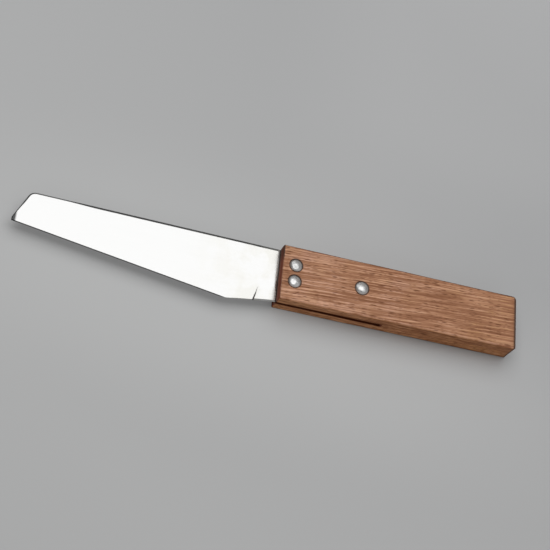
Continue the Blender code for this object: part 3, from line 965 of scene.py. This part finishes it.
def rivetFinish(look):
    material, tree, shader = newMaterial("rivet_metal")
    place = millimetres(tree)
    scuffs, = layers(streaks, millimetres(tree, look["scuffTurn"]), look["streaks"])
    tarnish, = layers(patches, place, look["patches"])
    pits, = layers(dashes, place, look["dashes"])
    colour = coated(look["bright"], tarnish, look["tarnishShare"], look["dull"])
    colour = coated(colour, pits, look["pitShare"], look["dull"])
    z = parts(place)[2]
    # dirt and painted shade on the head's lower flank, darkest towards the far side
    towardsShade = vectors("DOT_PRODUCT", facingWay(tree), look["towardsShade"])
    rim = product(between(z, *(handleTop + height for height in look["rimShadeHeight"])),
                  sums("GREATER_THAN", z, handleTop - look["rimShadeDepth"]),
                  between(towardsShade, *look["towardsShadeRange"]))
    colour = coated(colour, rim, look["rimShadeShare"], look["rim"])
    rough = plus(tarnish, 0.08, plus(scuffs, 0.08, look["roughness"]))
    height = minus(product(scuffs, 0.3), pits)
    wire(shader, {"Base Color": colour, "Metallic": 1.0, "Roughness": rough,
                  "Normal": relief(height, *look["relief"])})
    return material


def dress(piece, node, material):
    piece.data.materials.clear()
    piece.data.materials.append(material)
    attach(piece, "root")
    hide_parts(node)


dress(handle, "handle", woodFinish(woodLook))
dress(blade, "blade", steelFinish(steelLook))
rivetMetal = rivetFinish(rivetLook)
for rivet, node in zip(rivets, rivetNames):
    dress(rivet, node, rivetMetal)
print("finishes on")


# stage: a grey table with a painted pool of light, one large soft light overhead, a dim room

stageLook = {
    "tableSize": 6000.0,
    "table": (0.564, 0.568, 0.567, 1),  # paint, paler towards the near left: a painted pool of light
    "tableFar": (0.422, 0.425, 0.429, 1),
    "toneTurn": -54.0,  # it darkens this way, in degrees
    "toneSpan": (-100.0, 160.0),  # from here to here
    "toneOutside": (0.32, 0.95),  # by this much out on the table
    "poolInside": (-0.57, 1.48),  # and more steeply round the knife, where the painted light is palest
    "poolCentre": (85.0, 3.0, 0.0), "poolStretch": 3.14,
    "poolReach": (87.0, 20.0),  # where that fades out and is full
    "patches": {"mottle": (60.0, 0.5, 0.3)},
    "mottleTone": 0.08, "roughness": 0.9, "gloss": 0.1,
    "shadowLiftGlow": (0.13, 0.0),  # painted light: a glow that only the camera and the metal see, which lightens the blade's shadow on the table: this strong
    "glowReach": (-20.0, 60.0),  # beside the blade and beside the handle
    "glowWorth": 1.31,  # how much paint it stands for
    "glowFar": 0.30,  # it evens out towards the horizon
    "glowFade": (250.0, 1600.0), "lightPlace": (65.0, 520.0, 850.0),
    "lightSize": (1370.0, 1250.0), "lightRadiance": 1.97, "room": 0.12,
    "window": 0.54,  # broad light from the near side
    "windowAway": (-0.3, 0.95),  # x and y, leading away from it
    "windowEdge": (0.15, -0.35), "windowTop": (0.85, 0.50),
    "horizon": 0.36, "horizonTop": (0.14, 0.05),
}


def tableFinish(look):
    material, tree, shader = newMaterial("table_grey_painted_light")
    flat = millimetres(tree)
    turned = millimetres(tree, look["toneTurn"])
    along = parts(turned)[0]
    mottle, = layers(patches, turned, look["patches"])
    outside, inside = (between(along, *look["toneSpan"], *look[k], "LINEAR")
                       for k in ("toneOutside", "poolInside"))
    inside = plus(mottle, look["mottleTone"], inside)
    offCentre = vectors("SUBTRACT", flat, look["poolCentre"])
    aside = vectors("LENGTH", vectors("MULTIPLY", offCentre, (1 / look["poolStretch"], 1, 1)))
    tone = plus(minus(inside, outside), between(aside, *look["poolReach"]), outside)
    shown = mixed(tone, look["table"], look["tableFar"])
    # painted light that lifts the blade's shadow, fading out beside the handle and evening out far away
    paintedGlow = between(parts(flat)[0], *look["glowReach"], *look["shadowLiftGlow"])
    faded = between(vectors("LENGTH", flat), *look["glowFade"], style="LINEAR")
    paintedGlow = plus(minus(look["glowFar"], paintedGlow), faded, paintedGlow)
    paint = mixed(1.0, shown, product(paintedGlow, look["glowWorth"]), "SUBTRACT")
    rays = addNode(tree, "LightPath")
    seen = strongest(*(rays[f"Is {kind} Ray"] for kind in ("Camera", "Glossy", "Transmission")))
    wire(shader, {"Base Color": paint, "Roughness": look["roughness"], "Specular IOR Level": look["gloss"],
                  "Emission Color": (1, 1, 1, 1), "Emission Strength": product(seen, paintedGlow)})
    return material


def buildStage(look):
    size = look["tableSize"] / 2
    corners = np.array([[-size, -size, 0], [size, -size, 0], [size, size, 0], [-size, size, 0]])
    table = addPiece("table", corners, np.array([[0, 1, 2, 3]]))
    table.data.materials.append(tableFinish(look))

    lamp = bpy.data.lights.new("soft_overhead", "AREA")
    lamp.shape = "RECTANGLE"
    lamp.size, lamp.size_y = (side * mm for side in look["lightSize"])
    lamp.energy = look["lightRadiance"] * math.pi * lamp.size * lamp.size_y
    light = bpy.data.objects.new("soft_overhead", lamp)
    scene.collection.objects.link(light)
    light.matrix_world = lookMatrix([1, 0, 0], [0, 1, 0], [0, 0, 1], look["lightPlace"])

    world = bpy.data.worlds.new("dim_room")
    scene.world = world
    world.use_nodes = True
    tree = world.node_tree
    way = parts(addNode(tree, "TexCoord")["Generated"])
    awayX, awayY = look["windowAway"]
    away = plus(way[1], awayY, product(way[0], awayX))
    inWindow = product(between(away, *look["windowEdge"]), between(way[2], *look["windowTop"]))
    level = between(inWindow, 0.0, 1.0, look["room"], look["window"])
    atHorizon = product(between(way[2], *look["horizonTop"]), look["horizon"])
    wire(tree.nodes["Background"], {"Color": strongest(level, atHorizon)})


# camera: at the photograph's angle, from a fit to the handle's edges

cameraLook = {
    "turn": -27.73,  # degrees round the knife, from square on to the cutting edge
    "height": 60.26, "roll": 37.05, "distance": 547.0, "aim": (2.5, 3.8, 0.0),
    "focalPixels": 1349.0, "imagePixels": 550.0, "sensorWidth": 36.0, "clipStart": 0.01,
}


def buildCamera(look):
    turn, height, roll = (math.radians(look[k]) for k in ("turn", "height", "roll"))
    back = np.array([math.sin(turn) * math.cos(height), -math.cos(turn) * math.cos(height), math.sin(height)])
    level = unit(np.cross([0, 0, 1], back))
    upright = np.cross(back, level)
    right = math.cos(roll) * level + math.sin(roll) * upright
    up = math.cos(roll) * upright - math.sin(roll) * level
    camera = bpy.data.objects.new("camera", bpy.data.cameras.new("camera"))
    scene.collection.objects.link(camera)
    camera.data.sensor_width = look["sensorWidth"]
    camera.data.lens = look["sensorWidth"] * look["focalPixels"] / look["imagePixels"]
    camera.data.clip_start = look["clipStart"]
    camera.matrix_world = lookMatrix(right, up, back, np.array(look["aim"]) + back * look["distance"])
    scene.camera = camera


buildStage(stageLook)
buildCamera(cameraLook)
bpy.context.scene.view_settings.view_transform = "Standard"
print("stage and camera set")
